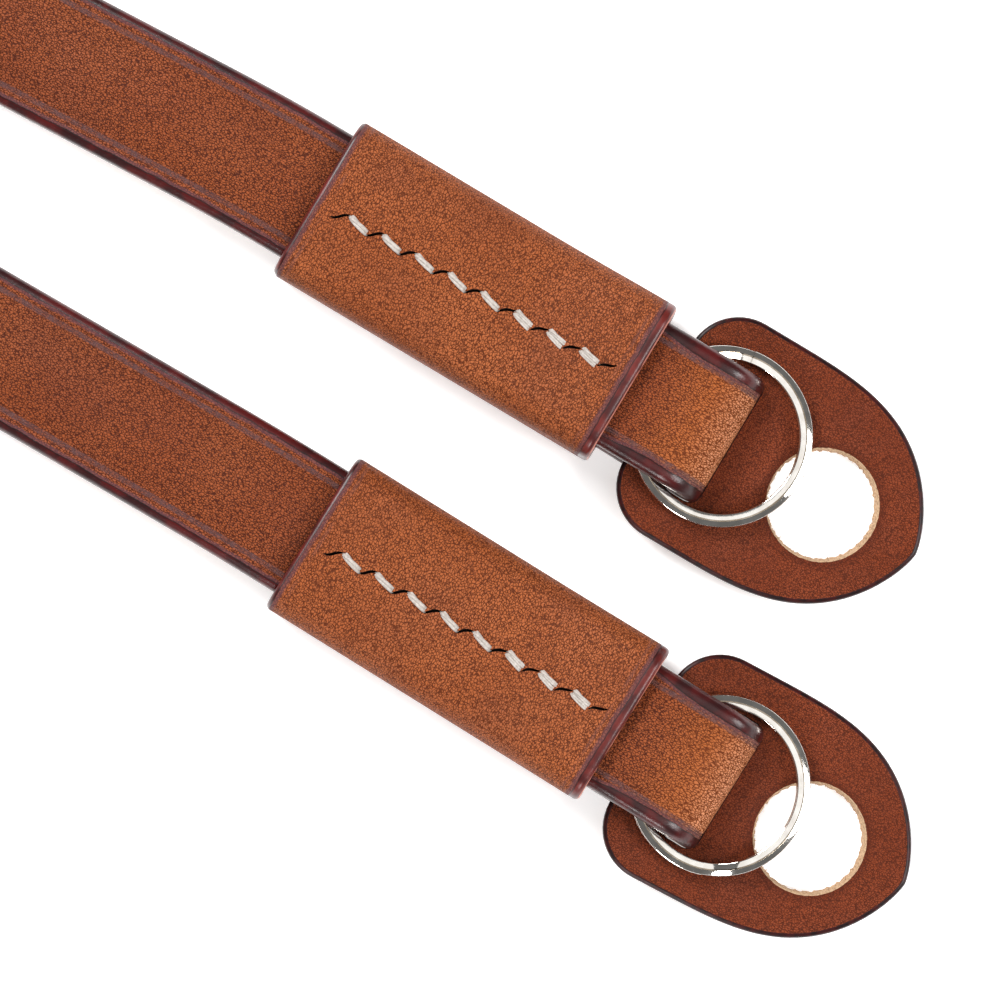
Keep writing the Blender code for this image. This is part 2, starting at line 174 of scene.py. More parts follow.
# %% Middle of the leather at an end, from the tail to the back of the sleeve
def tail_height(view, x):
    share = (x - view.drop_start) / (view.drop_end - view.drop_start)
    return tail_level + (half_thick - tail_level) * ease(share)


def top_height(view, x):
    share = (x - view.rise_start) / (ring_rear - view.rise_start)
    return sleeve_level + (view.loop_top - sleeve_level) * ease(share)


def side_route(view, step=0.2 * mm):
    """Points (x, z) along the middle of the leather."""
    points = [(x, tail_height(view, x)) for x in np.arange(view.back + tail_inset, view.drop_end, step)]
    points += [on_circle(angle, view.radius, view.bend_x, view.bend_z)
               for angle in np.radians(np.linspace(-90, 90, 61))]
    points += [(x, top_height(view, x)) for x in np.arange(ring_rear, view.back, -step)]
    points.append((view.back, sleeve_level))
    return np.array(points)


side_routes = {name: side_route(view) for name, view in views.items()}
print("side route points:", {name: len(route) for name, route in side_routes.items()})

# %% [markdown]
# The route of the strap
#
# The strap lies face up behind each sleeve, turns up on its edge, and runs round in one wide bend. Its
# route is a curve with a tilt at each point, just as a belt laid on a table has a middle line and a
# twist. The bend is a spline through a few places, pulled out until the leather is exactly as long as
# the real strip.

# %% Legs behind the sleeves
pad_spacing = 5.0 * mm
end_stagger = 14.2 * mm
descent_run = 42 * mm
bend_run = 12 * mm
flat_run = 50 * mm
twist_run = 95 * mm
on_edge = math.radians(90)


def heading(degrees):
    return np.array(on_circle(math.radians(degrees)))


def fold_place(end):
    stagger = end_stagger if end.side > 0 else 0.0
    return np.array((-stagger, end.side * (pad_width + pad_spacing) / 2))


def leg_route(end, view, coarse_step=1.6 * mm):
    """Rows (x, y, z, roll) from the back of the sleeve to the end of the twist."""
    place = fold_place(end) + heading(end.sleeve_heading) * view.back
    turn = end.leg_heading - end.sleeve_heading
    rows = []
    steps = int(round((flat_run + twist_run) / coarse_step))
    step = (flat_run + twist_run) / steps
    for index in range(steps + 1):
        along = index * step
        roll = on_edge * ease((along - flat_run) / twist_run)
        resting = ((half_width - edge_round) * math.sin(roll)
                   + (half_thick - edge_round) * math.cos(roll) + edge_round)
        lift = (sleeve_level - half_thick) * (1 - ease(along / descent_run))
        rows.append((place[0], place[1], resting + lift, roll))
        ahead = end.sleeve_heading + turn * ease((along + step / 2) / bend_run)
        place = place - heading(ahead) * step
    return np.array(rows)


legs = {name: leg_route(end, views[name]) for name, end in ends.items()}
print("each leg is %.0f mm long" % ((flat_run + twist_run) / mm))

# %% The far bend
bend_width = 116 * mm
bend_shape = ((0.26, 0.33), (0.50, 0.72), (0.765, 1.00), (0.935, 0.72))


def steps_of(points):
    return np.linalg.norm(np.diff(points, axis=0), axis=1)


def length_of(points):
    return float(steps_of(points).sum())


def distances(points):
    """How far along a route each of its points lies."""
    return np.concatenate(((0.0,), np.cumsum(steps_of(points))))


def spline(points, leave, arrive, count=900):
    """Smooth curve through points, with a given direction at each end."""
    knots = distances(points)
    gaps = np.diff(knots)
    size = len(points)
    matrix, right = np.zeros((size, size)), np.zeros((size, 2))
    matrix[0, 0] = matrix[-1, -1] = 1.0
    right[0], right[-1] = leave, arrive
    for i in range(1, size - 1):
        matrix[i, i - 1:i + 2] = gaps[i], 2 * (gaps[i - 1] + gaps[i]), gaps[i - 1]
        right[i] = 3 * (gaps[i] * (points[i] - points[i - 1]) / gaps[i - 1]
                        + gaps[i - 1] * (points[i + 1] - points[i]) / gaps[i])
    slopes = np.linalg.solve(matrix, right)
    curve = []
    for value in np.linspace(0, knots[-1], count):
        i = min(int(np.searchsorted(knots, value, side="right")) - 1, size - 2)
        t = (value - knots[i]) / gaps[i]
        curve.append((2 * t ** 3 - 3 * t ** 2 + 1) * points[i] + (3 * t ** 2 - 2 * t ** 3) * points[i + 1]
                     + (t ** 3 - 2 * t ** 2 + t) * gaps[i] * slopes[i]
                     + (t ** 3 - t ** 2) * gaps[i] * slopes[i + 1])
    return np.array(curve)


def far_bend(reach):
    """Plan view of the bend, from the end of leg a to the end of leg b."""
    start, finish = legs["a"][-1, :2], legs["b"][-1, :2]
    middle = (start + finish) / 2

    def bend_place(along, across):
        return middle + (-reach * along, bend_width / 2 * across)

    places = [start, *(bend_place(*share) for share in bend_shape), middle + (-reach, 0.0)]
    places += [bend_place(along, -across) for along, across in bend_shape[::-1]]
    places.append(finish)
    return spline(np.array(places), -heading(ends["a"].leg_heading), heading(ends["b"].leg_heading))


def end_rows(name):
    """The side view turned into rows (x, y, z, roll) on the floor."""
    forward, place = heading(ends[name].sleeve_heading), fold_place(ends[name])
    return np.array([(*(place + forward * x), z, 0.0) for x, z in side_routes[name]])


fixed = 0.0
for name, route in side_routes.items():
    outermost = int(np.argmax(route[:, 0]))
    fixed += length_of(end_rows(name)[outermost:, :3]) + length_of(legs[name][:, :3])
short, long = bend_width / 2, strap_length
for _ in range(60):
    reach = (short + long) / 2
    if fixed + length_of(far_bend(reach)) < strap_length:
        short = reach
    else:
        long = reach
print("the bend reaches %.1f mm behind the twists" % (reach / mm))

# %% Join the stretches and centre them as the solids are
standing = legs["a"][-1, 2]
bend_rows = [(x, y, standing, on_edge) for x, y in far_bend(reach)]
route = np.vstack((end_rows("a"), legs["a"][1:], bend_rows[1:-1], legs["b"][:0:-1], end_rows("b")[::-1]))
strap_low = Vector(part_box("strap")[0])
shift = Vector((strap_low.x - (route[:, 0].min() - half_thick),
                strap_low.y - (route[:, 1].min() - half_thick), 0.0))
route[:, :2] += (shift.x, shift.y)
print("strip length %.1f mm, moved by" % (length_of(route[:, :3]) / mm), shift / mm)

# %% [markdown]
# Working by hand in code
#
# An operator acts on whatever is selected, so each step starts by selecting nothing, and then picks
# faces or edges by their place or normal. These few helpers are the hands: take a piece, open it for
# editing, pick its parts, cut across it, and apply a modifier.

# %% Hands
exact = 0.001 * mm
part_modes = {"verts": "VERT", "edges": "EDGE", "faces": "FACE"}


def take(*pieces):
    """Select only these objects and make the last one active."""
    bpy.ops.object.select_all(action="DESELECT")
    for piece in pieces:
        piece.select_set(True)
    bpy.context.view_layer.objects.active = pieces[-1]


def name_it(name):
    piece = bpy.context.active_object
    piece.name = piece.data.name = name
    return piece


def join(pieces, name):
    """Make one object of several."""
    take(*pieces)
    bpy.ops.object.join()
    return name_it(name)


def settle(piece):
    """Move an object's place, turn and size into its mesh."""
    take(piece)
    bpy.ops.object.transform_apply(location=True, rotation=True, scale=True)


def apply_all(piece):
    take(piece)
    for modifier in list(piece.modifiers):
        bpy.ops.object.modifier_apply(modifier=modifier.name)


def smooth_off(piece, degrees=40):
    take(piece)
    bpy.ops.object.shade_smooth_by_angle(angle=math.radians(degrees))


def triangles(piece):
    return sum(len(face.vertices) - 2 for face in piece.data.polygons)


def choose_all():
    bpy.ops.mesh.select_all(action="SELECT")


def open_up(piece, kind="faces"):
    """Enter edit mode with everything selected."""
    take(piece)
    bpy.ops.object.mode_set(mode="EDIT")
    bpy.ops.mesh.select_mode(type=part_modes[kind])
    choose_all()


def close_up():
    bpy.ops.object.mode_set(mode="OBJECT")


def choose(piece, kind, test):
    """Select only the verts, edges or faces that pass a test, and return how many did."""
    bpy.ops.mesh.select_all(action="DESELECT")
    bpy.ops.mesh.select_mode(type=part_modes[kind])
    mesh = bmesh.from_edit_mesh(piece.data)
    chosen = [item for item in getattr(mesh, kind) if test(item)]
    for item in chosen:
        item.select_set(True)
    mesh.select_flush_mode()
    bmesh.update_edit_mesh(piece.data)
    return len(chosen)


def cut_at(places, axis=0):
    """Cut across a whole piece at some places along an axis."""
    normal = Vector((axis == 0, axis == 1, 0))
    for place in places:
        choose_all()
        bpy.ops.mesh.bisect(plane_co=normal * place, plane_no=normal, threshold=exact)


def face_outwards():
    choose_all()
    bpy.ops.mesh.normals_make_consistent(inside=False)


def new_section(name, thickness, width):
    """A small plate that stands across X, opened for editing."""
    bpy.ops.mesh.primitive_plane_add(size=1, rotation=(0, math.radians(90), 0))
    plate = name_it(name)
    plate.dimensions = (thickness, width, 0)
    settle(plate)
    open_up(plate, "verts")
    return plate


# %% [markdown]
# Laying a straight blank along a route
#
# A belt maker cuts a straight strip and then bends it. The same is done here: the blank is modelled
# straight along X, at its full length, and a Curve modifier lays it along a poly curve. The blank gets
# a cross cut wherever the route has turned a little, so it is fine at the folds and coarse where it
# runs straight. A split ring's wire is laid in the same way.

# %% Cuts along a route, and the laying itself
def cuts_along(points, tilts, bulge, turn, longest):
    """Distances along the route at which the blank needs a cut."""
    distance = distances(points)
    kept = [0]
    for index in range(1, len(points) - 1):
        chord = points[index + 1] - points[kept[-1]]
        between = points[kept[-1]:index + 1] - points[kept[-1]]
        off = np.linalg.norm(np.cross(between, chord), axis=1).max() / np.linalg.norm(chord)
        turned = abs(tilts[index + 1] - tilts[kept[-1]])
        if off > bulge or turned > turn or distance[index + 1] - distance[kept[-1]] > longest:
            kept.append(index)
    kept.append(len(points) - 1)
    return distance[kept]


def extrude_along(cuts):
    """Extrude a section along X from cut to cut."""
    choose_all()
    for near, far in zip(cuts, cuts[1:]):
        bpy.ops.mesh.extrude_region_move(TRANSFORM_OT_translate={"value": (far - near, 0, 0)})


def lay_along(piece, points, tilts):
    """Bend a straight piece along a poly curve with a Curve modifier."""
    curve = bpy.data.curves.new("route", "CURVE")
    curve.dimensions = "3D"
    curve.twist_mode = "MINIMUM"
    curve.use_path = True
    line = curve.splines.new("POLY")
    line.points.add(len(points) - 1)
    line.points.foreach_set("co", np.column_stack((points, np.ones(len(points)))).ravel())
    line.points.foreach_set("tilt", tilts)
    guide = bpy.data.objects.new("route", curve)
    bpy.context.collection.objects.link(guide)
    bend = piece.modifiers.new("lay", "CURVE")
    bend.object = guide
    bend.deform_axis = "POS_X"
    apply_all(piece)
    bpy.data.objects.remove(guide, do_unlink=True)
    bpy.data.curves.remove(curve)


# %% Slots, and a piece's own measures kept as a UV map
def new_material(name):
    material = bpy.data.materials.new(name)
    material.use_nodes = True
    return material


def give_slots(piece, *materials):
    for material in materials:
        piece.data.materials.append(material)


def fill_slot(piece, index):
    """Give the chosen faces the material of a slot."""
    piece.active_material_index = index
    bpy.ops.object.material_slot_assign()


def keep_uv(piece, name, origin=(0.0, 0.0)):
    """Store a straight piece's own X and Y, in metres, as a UV map."""
    layer = piece.data.uv_layers.new(name=name)
    places = [piece.data.vertices[loop.vertex_index].co for loop in piece.data.loops]
    pairs = [(place.x - origin[0], place.y - origin[1]) for place in places]
    layer.data.foreach_set("uv", np.array(pairs, dtype=np.float32).ravel())


# %% [markdown]
# The strap
#
# The strip has dyed, burnished edges that are nearly half round, and a pair of fine creases runs along
# each side, pressed with a warm tool. Its section is drawn once as a small plate: the corners are
# rounded with a vertex bevel, and thin cuts give the crease lines points that can be pushed in.

# %% Draw the strap's section
crease_inset = 1.62 * mm
crease_apart = 0.20 * mm
crease_half = 0.09 * mm
crease_depth = 0.07 * mm
crease_lines = [half_width - crease_inset + share * crease_apart for share in (-0.5, 0.5)]

strap = new_section("strap_leather", strap_thickness, strap_width)
bpy.ops.mesh.bevel(offset=edge_round, segments=7, affect="VERTICES", profile=0.5)
cut_at([line + offset for line in crease_lines + [-line for line in crease_lines]
        for offset in (-crease_half, 0.0, crease_half)], axis=1)
creased = choose(strap, "verts", lambda v: v.co.z < -half_thick + exact
                 and min(abs(abs(v.co.y) - line) for line in crease_lines) < 2 * exact)
bpy.ops.transform.translate(value=(0, 0, crease_depth))
print("section points pushed in as creases:", creased)

# %% Extrude the strip and lay it down
points, tilts = route[:, :3].copy(), route[:, 3].copy()
turns = {name: int(np.argmax(side[:, 0])) for name, side in side_routes.items()}
fold_along = (length_of(points[:turns["a"] + 1]), length_of(points) - length_of(points[-turns["b"] - 1:]))
cuts = cuts_along(points, tilts, bulge=0.006 * mm, turn=math.radians(2.5), longest=4 * mm)
extrude_along(cuts)
close_up()
strap_grain = new_material("strap grain")
flesh_side = new_material("flesh side")
give_slots(strap, strap_grain, flesh_side)
keep_uv(strap, "strip")
open_up(strap)
flesh = choose(strap, "faces", lambda f: f.normal.z > 0.95)
fill_slot(strap, 1)
close_up()
lay_along(strap, points, tilts)
open_up(strap)
bpy.ops.mesh.remove_doubles(threshold=exact)
bpy.ops.mesh.normals_make_consistent(inside=False)
close_up()
smooth_off(strap)
print("strip:", len(cuts), "cuts,", flesh, "flesh faces,", triangles(strap), "triangles")

# %% [markdown]
# Putting an end's pieces in their place
#
# Sleeve, stitches, pad and ring are modelled lying along X with the fold at the origin, where their
# sizes are easy to read. Then the whole set is turned to the heading of its end and moved there, and
# the place goes into the mesh.

# %% Place of each end
def end_matrix(name):
    x, y = fold_place(ends[name])
    turn = Matrix.Rotation(math.radians(ends[name].sleeve_heading), 4, "Z")
    return Matrix.Translation((x + shift.x, y + shift.y, 0)) @ turn


def put_in_place(piece, name):
    piece.matrix_world = end_matrix(name) @ piece.matrix_world
    settle(piece)


for name in ends:
    print("end", name, "fold at", end_matrix(name).translation / mm)

# %% [markdown]
# The sleeves
#
# A sleeve is a strip of thinner leather wrapped tightly round both layers and butted underneath. It
# could be a bent box, but leather keeps one thickness all round, so only its inner skin is modelled: a
# tube with rounded corners, slit open along the seam and raised towards its mouth. Solidify gives it
# its wall, and a small bevel rounds the cut ends, which are burnished until they are glossy.

# %% Wrap a sleeve
seam_gap = 0.3 * mm
sleeve_corner = 1.0 * mm
sleeve_rim = 0.42 * mm
rim_strip = 0.6 * mm
flare_step = 0.7 * mm
inner_half = half_width + layer_gap
low_roof = sleeve_level + half_thick + layer_gap


def roof(view, x):
    """Inside height of the sleeve."""
    run = ring_rear - view.rise_start
    slope = (view.loop_top - sleeve_level) / run * ease_slope((x - view.rise_start) / run)
    return top_height(view, x) + half_thick * math.hypot(1, slope) + layer_gap


def wrap_sleeve(name):
    view = views[name]
    bpy.ops.mesh.primitive_cube_add(size=1)
    sleeve = name_it("sleeve_leather_" + name)
    sleeve.dimensions = (sleeve_length, 2 * inner_half, low_roof - sleeve_wall)
    sleeve.location = (view.mouth - sleeve_length / 2, 0, (low_roof + sleeve_wall) / 2)
    settle(sleeve)
    open_up(sleeve)
    choose(sleeve, "faces", lambda f: abs(f.normal.x) > 0.9)
    bpy.ops.mesh.delete(type="FACE")
    choose(sleeve, "edges", lambda e: abs(e.verts[0].co.x - e.verts[1].co.x) > sleeve_length / 2)
    bpy.ops.mesh.bevel(offset=sleeve_corner, segments=5, affect="EDGES")
    cut_at((view.back + rim_strip, view.back + 8 * mm, view.mouth - rim_strip))
    cut_at(np.arange(view.rise_start - 0.8 * mm, view.mouth - 1.0 * mm, flare_step))
    cut_at((-seam_gap / 2, seam_gap / 2), axis=1)
    seam = choose(sleeve, "faces", lambda f: f.calc_center_median().z < sleeve_wall + 0.1 * mm
                  and abs(f.calc_center_median().y) < seam_gap / 2)
    bpy.ops.mesh.delete(type="FACE")
    face_outwards()
    close_up()
    for vert in sleeve.data.vertices:
        if vert.co.z > low_roof / 2:
            vert.co.z += roof(view, vert.co.x) - low_roof
    wall = sleeve.modifiers.new("wall", "SOLIDIFY")
    wall.thickness = sleeve_wall
    wall.offset = 1
    wall.use_even_offset = True
    rims = sleeve.modifiers.new("burnished rims", "BEVEL")
    rims.width = sleeve_rim
    rims.segments = 4
    rims.limit_method = "ANGLE"
    rims.angle_limit = math.radians(60)
    apply_all(sleeve)
    print(sleeve.name, "seam faces out:", seam, "triangles:", triangles(sleeve))
    return sleeve


sleeves = {name: wrap_sleeve(name) for name in ends}

# %% [markdown]
# Stitches
#
# Saddle stitching leaves a slanted slit at each hole, made by the pricking iron, and between two slits
# a short length of waxed thread that slants the other way. The slits are real cuts here, made with a
# Boolean, and their insides are painted nearly black as shade, so they are dark at any angle. The last
# stitches before the mouth are sewn twice. Underneath, the strap's weight has pressed the threads into
# the leather, so that the sleeve still lies flat.

# %% Where each stitch lies
stitch_count = 8
double_from = 5
stitch_pitch = 3.20 * mm
first_stitch = 4.28 * mm
stitch_line = {"a": (-0.38 * mm, -0.03 * mm), "b": (-0.46 * mm, -0.10 * mm)}
thread_half = np.array((1.01, -0.285)) * mm
slit_run = np.array((1.34, 0.84)) * mm


def stitch_place(name, index):
    near, far = stitch_line[name]
    along = first_stitch + index * stitch_pitch
    aside = near + (far - near) * index / (stitch_count - 1)
    return np.array((views[name].back + along, aside))


def slit_place(name, index):
    if index == 0:
        return stitch_place(name, 0) - thread_half - slit_run / 2
    if index == stitch_count:
        return stitch_place(name, index - 1) + thread_half + slit_run / 2
    return (stitch_place(name, index - 1) + stitch_place(name, index)) / 2


def face_height(name, x):
    """Height of the sleeve's outer face."""
    return roof(views[name], x) + sleeve_wall


def face_slope(name, x, step=0.2 * mm):
    return math.atan2(face_height(name, x + step) - face_height(name, x - step), 2 * step)


print("first stitch", stitch_place("a", 0) / mm, "first slit", slit_place("a", 0) / mm)

# %% Cut the slits
slit_width = 0.26 * mm
slit_depth = 0.55 * mm
slit_wave = 0.08 * mm
slit_phase = 0.35
slit_angle = math.atan2(slit_run[1], slit_run[0])
slit_length = float(np.linalg.norm(slit_run)) + 0.22 * mm
# The insides of the slits get a near-black material: painted shade.
slit_painted_shade = new_material("inside of a slit")
sleeve_grain = new_material("sleeve grain")


def slit_cutter(index, x, y, z):
    """A long ball, bent a little like an S."""
    bpy.ops.mesh.primitive_uv_sphere_add(
        segments=10, ring_count=14, radius=0.5, rotation=(0, math.radians(90), 0))
    cutter = name_it("slit")
    settle(cutter)
    for vert in cutter.data.vertices:
        wave = slit_wave * math.sin(2 * math.pi * vert.co.x + slit_phase * index)
        vert.co = (vert.co.x * slit_length, vert.co.y * slit_width + wave, vert.co.z * 2 * slit_depth)
    cutter.matrix_world = Matrix.Translation((x, y, z)) @ Matrix.Rotation(slit_angle, 4, "Z")
    settle(cutter)
    return cutter


def cut_slits(name):
    cutters = []
    for index in range(stitch_count + 1):
        x, y = slit_place(name, index)
        cutters += [slit_cutter(index, x, y, height) for height in (face_height(name, x), 0.0)]
    cutter = join(cutters, "slits")
    give_slots(cutter, slit_painted_shade)
    cut = sleeves[name].modifiers.new("slits", "BOOLEAN")
    cut.operation = "DIFFERENCE"
    cut.solver = "EXACT"
    cut.material_mode = "TRANSFER"
    cut.object = cutter
    apply_all(sleeves[name])
    bpy.data.objects.remove(cutter, do_unlink=True)
    print("slits in sleeve", name, "triangles:", triangles(sleeves[name]))


for name, sleeve in sleeves.items():
    give_slots(sleeve, sleeve_grain)
    cut_slits(name)
    keep_uv(sleeve, "wrap", origin=(views[name].back, 0.0))
    smooth_off(sleeve)

# %% Twist a thread from three strands
strand_radius = 0.150 * mm
thread_length = 2.40 * mm
thread_steps = 26
strand_turn = math.radians(5)
thread_lift = 0.12 * mm
thread_dive = 0.90 * mm
thread_flatten = 0.85
thread_spread = 1.05
waxed_thread = new_material("waxed thread")


def twist_thread(label, share_of_width):
    """A short straight thread along X, its ends bent down as they go into the leather."""
    radius = strand_radius * share_of_width
    strands = []
    for angle in np.radians((0, 120, 240)):
        bpy.ops.mesh.primitive_circle_add(
            vertices=8, radius=radius, fill_type="NGON", rotation=(0, math.radians(90), 0),
            location=(-thread_length / 2, *on_circle(angle, radius)))
        strands.append(name_it("strand"))
        settle(strands[-1])
    thread = join(strands, label)
    open_up(thread)
    for _ in range(thread_steps):
        bpy.ops.mesh.extrude_region_move(
            TRANSFORM_OT_translate={"value": (thread_length / thread_steps, 0, 0)})
        bpy.ops.transform.rotate(value=strand_turn, orient_axis="X", center_override=(0, 0, 0))
    face_outwards()
    close_up()
    keep_uv(thread, "thread")
    for vert in thread.data.vertices:
        share = abs(vert.co.x) / (thread_length / 2)
        vert.co.z = vert.co.z * thread_flatten + thread_lift - thread_dive * share ** 6
        vert.co.y *= thread_spread
    give_slots(thread, waxed_thread)
    smooth_off(thread, 60)
    return thread


single = twist_thread("thread", 1.0)
half_of_double = twist_thread("thread of a pair", 0.70)
print("thread triangles:", triangles(single))

# %% Sew the sleeves
pressed_in = 0.33 * mm
pair_aside = 0.19 * mm


def lay_thread(pattern, name, x, y, under, turn):
    thread = pattern.copy()
    thread.data = pattern.data.copy()
    bpy.context.collection.objects.link(thread)
    flip = math.radians(180) if under else 0.0
    tilt = 0.0 if under else -face_slope(name, x)
    level = pressed_in if under else face_height(name, x)
    thread.matrix_world = (Matrix.Translation((x, y, level)) @ Matrix.Rotation(tilt, 4, "Y")
                           @ Matrix.Rotation(turn, 4, "Z") @ Matrix.Rotation(flip, 4, "X"))
    return thread


def sew(name, rng):
    slant = math.atan2(thread_half[1], thread_half[0])
    aside = np.array((-math.sin(slant), math.cos(slant))) * pair_aside
    threads = []
    for index in range(stitch_count):
        place = stitch_place(name, index)
        for under in (False, True):
            turn = slant + math.radians(rng.uniform(-2.5, 2.5))
            if index < double_from:
                threads.append(lay_thread(single, name, *place, under, turn))
                continue
            for side in (-1, 1):
                threads.append(lay_thread(half_of_double, name, *(place + side * aside), under,
                                          turn + math.radians(side * rng.uniform(0, 3))))
    for thread in threads:
        settle(thread)
    return join(threads, "stitches_" + name)


stitches = {name: sew(name, random.Random(7)) for name in ends}
for pattern in (single, half_of_double):
    bpy.data.objects.remove(pattern, do_unlink=True)
print("stitches:", {name: triangles(piece) for name, piece in stitches.items()})

# %% [markdown]
# The pads
#
# A pad is cut from firmer leather: a round-nosed shield with a punched hole, and a slot for the strap.
# The three outlines are drawn as loops of points and filled, which leaves the hole and slot open.
# Extruding gives the thickness, and each kind of rim gets its own bevel, because the outer rim is
# burnished round while the hole is left as the punch made it. Thin cuts across then let the plate bend.

# %% Draw the outlines
heel_radius = 4.6 * mm
hole_radius = 4.8 * mm
hole_forward = 9.3 * mm
hole_aside = -0.4 * mm
pad_fullness = 3.36
pad_sharpness = 0.70
slot_side_play = 0.08 * mm
slot_front_trim = 0.16 * mm


def quarter(x, y, radius, start, steps):
    angles = np.radians(start + np.linspace(0, 90, steps + 1))
    return [on_circle(angle, radius, x, y) for angle in angles]


def shield_outline(steps=36):
    half = pad_width / 2
    side = []
    for share in np.sin(np.radians(np.linspace(0, 90, steps + 1)))[::-1]:
        side.append((pad_nose * share, half * max(0.0, 1 - share ** pad_fullness) ** pad_sharpness))
    side += quarter(heel_radius - pad_heel, half - heel_radius, heel_radius, 90, 14)
    return side + [(x, -y) for x, y in reversed(side) if y > 1e-9]


def hole_outline(count=120):
    angles = np.linspace(0, 2 * math.pi, count, endpoint=False)
    return [on_circle(angle, hole_radius, hole_forward, hole_aside) for angle in angles]


def slot_ends(view):
    """Back and front of the slot, clear of the fold at the pad's underside and top."""
    inner = view.radius - half_thick - layer_gap
    outer = view.radius + half_thick + layer_gap
    back, step = view.bend_x, layer_gap / 10
    while math.hypot(back + step - view.bend_x,
                     view.slope * (view.touch - back - step) - view.bend_z) < inner:
        back += step
    top = view.slope * view.touch + pad_thickness
    front = view.bend_x + math.sqrt(outer ** 2 - (view.bend_z - top) ** 2)
    return back, front


def slot_outline(view):
    back, front = slot_ends(view)
    half = half_width + slot_side_play
    front -= slot_front_trim
    radius = 0.3 * (front - back)
    corners = ((front - radius, half - radius), (back + radius, half - radius),
               (back + radius, radius - half), (front - radius, radius - half))
    return [place for index, (x, y) in enumerate(corners)
            for place in quarter(x, y, radius, 90 * index, 4)]


print("outline points:", len(shield_outline()), "slot of end a:", np.array(slot_ends(views["a"])) / mm)

# %% Cut, bend and trim the pads
slot_lean = 0.30 * mm
pad_grain = new_material("pad grain")
dyed_rim = new_material("dyed rim")
raw_cut = new_material("raw cut leather")


def loop_of(places):
    bpy.ops.mesh.primitive_circle_add(vertices=len(places), radius=1, fill_type="NOTHING")
    loop = bpy.context.active_object
    for vert, (x, y) in zip(loop.data.vertices, places):
        vert.co = (x, y, 0)
    return loop


def pad_height(view, x):
    """Underside of the pad: a slope that runs out on the floor."""
    if x <= view.touch - pad_rest:
        return view.slope * (view.touch - x)
    if x >= view.touch + pad_rest:
        return 0.0
    return view.slope * (view.touch + pad_rest - x) ** 2 / (4 * pad_rest)


def hole_lean(angle):
    """How far the wall of the hole leans in over the thickness, in mm. The punch went in askew."""
    return 0.25 + 0.14 * math.cos(angle)


def cut_pad(name, rng):
    view, end = views[name], ends[name]
    own = (Matrix.Translation((end.pad_shift, 0, 0))
           @ Matrix.Rotation(math.radians(end.pad_turn), 4, "Z"))
    outer, hole = ([tuple((own @ Vector((x, y, 0)))[:2]) for x, y in outline]
                   for outline in (shield_outline(), hole_outline()))
    hole_centre = (own @ Vector((hole_forward, hole_aside, 0))).xy
    back, front = slot_ends(view)
    pad = join((loop_of(hole), loop_of(slot_outline(view)), loop_of(outer)), "pad_leather_" + name)
    give_slots(pad, pad_grain, flesh_side, dyed_rim, raw_cut)
    open_up(pad, "edges")
    bpy.ops.mesh.fill(use_beauty=True)
    face_outwards()
    bpy.ops.mesh.extrude_region_move(TRANSFORM_OT_translate={"value": (0, 0, pad_thickness)})
    face_outwards()

    def in_hole(place, margin=0.2 * mm):
        return (Vector(place[:2]) - hole_centre).length < hole_radius + margin

    def in_slot(place):
        return back - 0.1 * mm < place.x < front + 0.1 * mm and abs(place.y) < half_width + 0.8 * mm

    def side_face(test):
        return lambda f: abs(f.normal.z) < 0.5 and test(f.calc_center_median())

    def rim_edge(test):
        def check(edge):
            first, second = (vert.co for vert in edge.verts)
            return (len(edge.link_faces) == 2 and edge.calc_face_angle(0) >= math.radians(60)
                    and test((first + second) / 2) and abs(first.z - second.z) < 0.1 * mm)
        return check

    for index, test in ((1, lambda f: f.normal.z < -0.5), (3, side_face(in_hole)),
                        (2, side_face(lambda c: not in_hole(c)))):
        choose(pad, "faces", test)
        fill_slot(pad, index)
    for width, segments, index, test in ((0.38 * mm, 6, 2, lambda c: not in_hole(c) and not in_slot(c)),
                                         (0.08 * mm, 2, 2, in_slot),
                                         (0.05 * mm, 2, 3, in_hole)):
        choose(pad, "edges", rim_edge(test))
        bpy.ops.mesh.bevel(offset=width, segments=segments, affect="EDGES", material=index)
    cut_at(np.linspace(view.touch - pad_rest, view.touch + pad_rest, 7))
    close_up()
    keep_uv(pad, "plan", origin=hole_centre)
    for vert in pad.data.vertices:
        depth = 1 - vert.co.z / pad_thickness
        if in_hole(vert.co, 0.1 * mm):
            away = vert.co.xy - hole_centre
            angle = math.atan2(away.y, away.x)
            ragged = 0.035 * math.sin(31 * angle + 4 * depth) + 0.03 * math.sin(53 * angle)
            ragged += rng.uniform(-0.03, 0.03)
            inward = (hole_lean(angle) * depth + ragged * (0.3 + depth)) * mm
            vert.co.xy = hole_centre + away * (1 - inward / away.length)
        elif in_slot(vert.co) and vert.co.x > (back + front) / 2 and abs(vert.co.y) < half_width:
            vert.co.x -= slot_lean * depth
        vert.co.z += pad_height(view, vert.co.x)
    smooth_off(pad)
    print(pad.name, "triangles:", triangles(pad))
    return pad, hole_centre


pads, hole_centres = {}, {}
for name in ends:
    pads[name], hole_centres[name] = cut_pad(name, random.Random(11))

# %% [markdown]
# Fibres of the punched hole
#
# A punch tears the loose fibres on the flesh side, and some stand out from the wall of the hole. Each
# is a thin four-sided spike, leaning inwards at its own angle.

